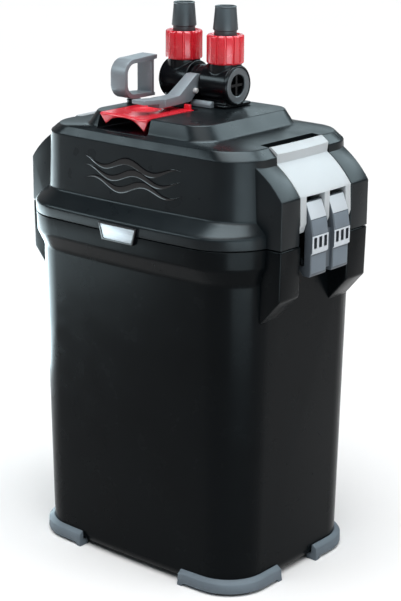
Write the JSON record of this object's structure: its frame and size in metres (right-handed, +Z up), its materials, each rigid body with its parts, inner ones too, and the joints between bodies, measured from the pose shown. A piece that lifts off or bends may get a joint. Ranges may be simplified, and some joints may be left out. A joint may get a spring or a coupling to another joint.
{
  "type": "canister filter",
  "caption": "Tall canister water filter with corner feet, a clamped motor head, a twin hose valve, a release lever and a primer loop.",
  "frame": {"origin": "centre of the underside, on the surface the feet stand on", "axes": "+Z up, -Y towards the front with the badge, the clamps on +X and -X"},
  "size_m": [0.248, 0.1772, 0.4115],
  "materials": {
    "case_plastic": "satin moulded",
    "head_plastic": "satin moulded",
    "black_plastic": "satin moulded",
    "foot_rubber": "matt",
    "seal_rubber": "matt",
    "steel": "turned",
    "badge_black": "gloss",
    "badge_metal": "brushed",
    "stator_core": "potted",
    "ceramic": "fired",
    "magnet": "moulded over",
    "impeller_plastic": "moulded",
    "clear_grey_plastic": "moulded",
    "light_grey_plastic": "satin",
    "hook_plastic": "fine texture",
    "valve_plastic": "gloss",
    "cuff_plastic": "satin",
    "red_plastic": "gloss",
    "foam": "open cell",
    "carbon_foam": "open cell"
  },
  "bodies": {
    "canister": {"canister_case": "case_plastic", "impeller_cover": "case_plastic", "basket_bottom": "case_plastic", "basket_middle": "case_plastic", "basket_top": "case_plastic", "basket_cover": "case_plastic", "foam_frame": "case_plastic", "head_cover": "head_plastic", "head_base": "black_plastic", "cable_gland": "black_plastic", "impeller_well": "black_plastic", "inlet_duct": "black_plastic", "outlet_duct": "black_plastic", "primer_gland": "black_plastic", "foot_front_left": "foot_rubber", "foot_front_right": "foot_rubber", "foot_back_left": "foot_rubber", "foot_back_right": "foot_rubber", "head_gasket": "seal_rubber", "shaft_bushes": "seal_rubber", "valve_seals": "seal_rubber", "base_screws": "steel", "release_lever_pin": "steel", "clamp_hinge_pin_left": "steel", "clamp_hinge_pin_right": "steel", "badge_bezel": "badge_black", "front_inlay": "badge_black", "badge_plate": "badge_metal", "motor_stator": "stator_core", "impeller_shaft": "ceramic", "ceramic_rings": "ceramic", "primer_cylinder": "clear_grey_plastic", "valve_latch": "light_grey_plastic", "valve_body": "valve_plastic", "valve_end_caps": "valve_plastic", "hose_cuff_left": "cuff_plastic", "hose_cuff_right": "cuff_plastic", "foam_pads": "foam", "polishing_pad": "foam", "carbon_pad": "carbon_foam"},
    "primer": {"primer_handle": "light_grey_plastic", "primer_rod": "steel", "primer_piston": "black_plastic", "primer_seal": "seal_rubber"},
    "valve_lever": {"valve_lever": "light_grey_plastic", "valve_hub": "valve_plastic", "valve_rotor_left": "valve_plastic", "valve_rotor_right": "valve_plastic", "lever_catch_pin": "impeller_plastic"},
    "release_lever": {"release_lever": "red_plastic"},
    "hose_nut_left": {"hose_nut_left": "red_plastic"},
    "hose_nut_right": {"hose_nut_right": "red_plastic"},
    "impeller": {"impeller_magnet": "magnet", "impeller_wheel": "impeller_plastic"},
    "clamp_lever_left": {"clamp_lever_left": "light_grey_plastic", "clamp_link_pin_left": "steel"},
    "clamp_hooks_left": {"clamp_hooks_left": "hook_plastic"},
    "clamp_lever_right": {"clamp_lever_right": "light_grey_plastic", "clamp_link_pin_right": "steel"},
    "clamp_hooks_right": {"clamp_hooks_right": "hook_plastic"}
  },
  "joints": [
    {"name": "clamp_lever_left_hinge", "type": "hinge", "parent": "canister", "child": "clamp_lever_left", "pos_m": [-0.113, 0, 0.272], "axis": [0, -1, 0], "range_deg": [0, 90]},
    {"name": "clamp_hooks_left_hinge", "type": "hinge", "parent": "clamp_lever_left", "child": "clamp_hooks_left", "pos_m": [-0.1165, 0, 0.284], "axis": [0, -1, 0], "range_deg": [-90, 0]},
    {"name": "clamp_lever_right_hinge", "type": "hinge", "parent": "canister", "child": "clamp_lever_right", "pos_m": [0.113, 0, 0.272], "axis": [0, 1, 0], "range_deg": [0, 90]},
    {"name": "clamp_hooks_right_hinge", "type": "hinge", "parent": "clamp_lever_right", "child": "clamp_hooks_right", "pos_m": [0.1165, 0, 0.284], "axis": [0, 1, 0], "range_deg": [-90, 0]},
    {"name": "valve_lever_hinge", "type": "hinge", "parent": "canister", "child": "valve_lever", "pos_m": [-0.009, 0.02, 0.3547], "axis": [-1, 0, 0], "range_deg": [0, 60]},
    {"name": "release_lever_hinge", "type": "hinge", "parent": "canister", "child": "release_lever", "pos_m": [-0.017, -0.009, 0.3345], "axis": [-1, 0, 0], "range_deg": [0, 24]},
    {"name": "primer_slide", "type": "slide", "parent": "canister", "child": "primer", "axis": [0, 0, 1], "range_m": [0, 0.045]},
    {"name": "impeller_spin", "type": "hinge", "parent": "canister", "child": "impeller", "pos_m": [0.048, 0.005, 0.27], "axis": [0, 0, 1], "continuous": true},
    {"name": "hose_nut_left_turn", "type": "hinge", "parent": "canister", "child": "hose_nut_left", "pos_m": [-0.0287, 0.02, 0.38], "axis": [0, 0, 1], "continuous": true},
    {"name": "hose_nut_right_turn", "type": "hinge", "parent": "canister", "child": "hose_nut_right", "pos_m": [0.0107, 0.02, 0.38], "axis": [0, 0, 1], "continuous": true}
  ],
  "couplings": [
    {"joint": "clamp_hooks_left_hinge", "follows": "clamp_lever_left_hinge", "ratio": -1},
    {"joint": "clamp_hooks_right_hinge", "follows": "clamp_lever_right_hinge", "ratio": -1},
    {"joint": "release_lever_hinge", "follows": "valve_lever_hinge", "ratio": 0.4}
  ]
}
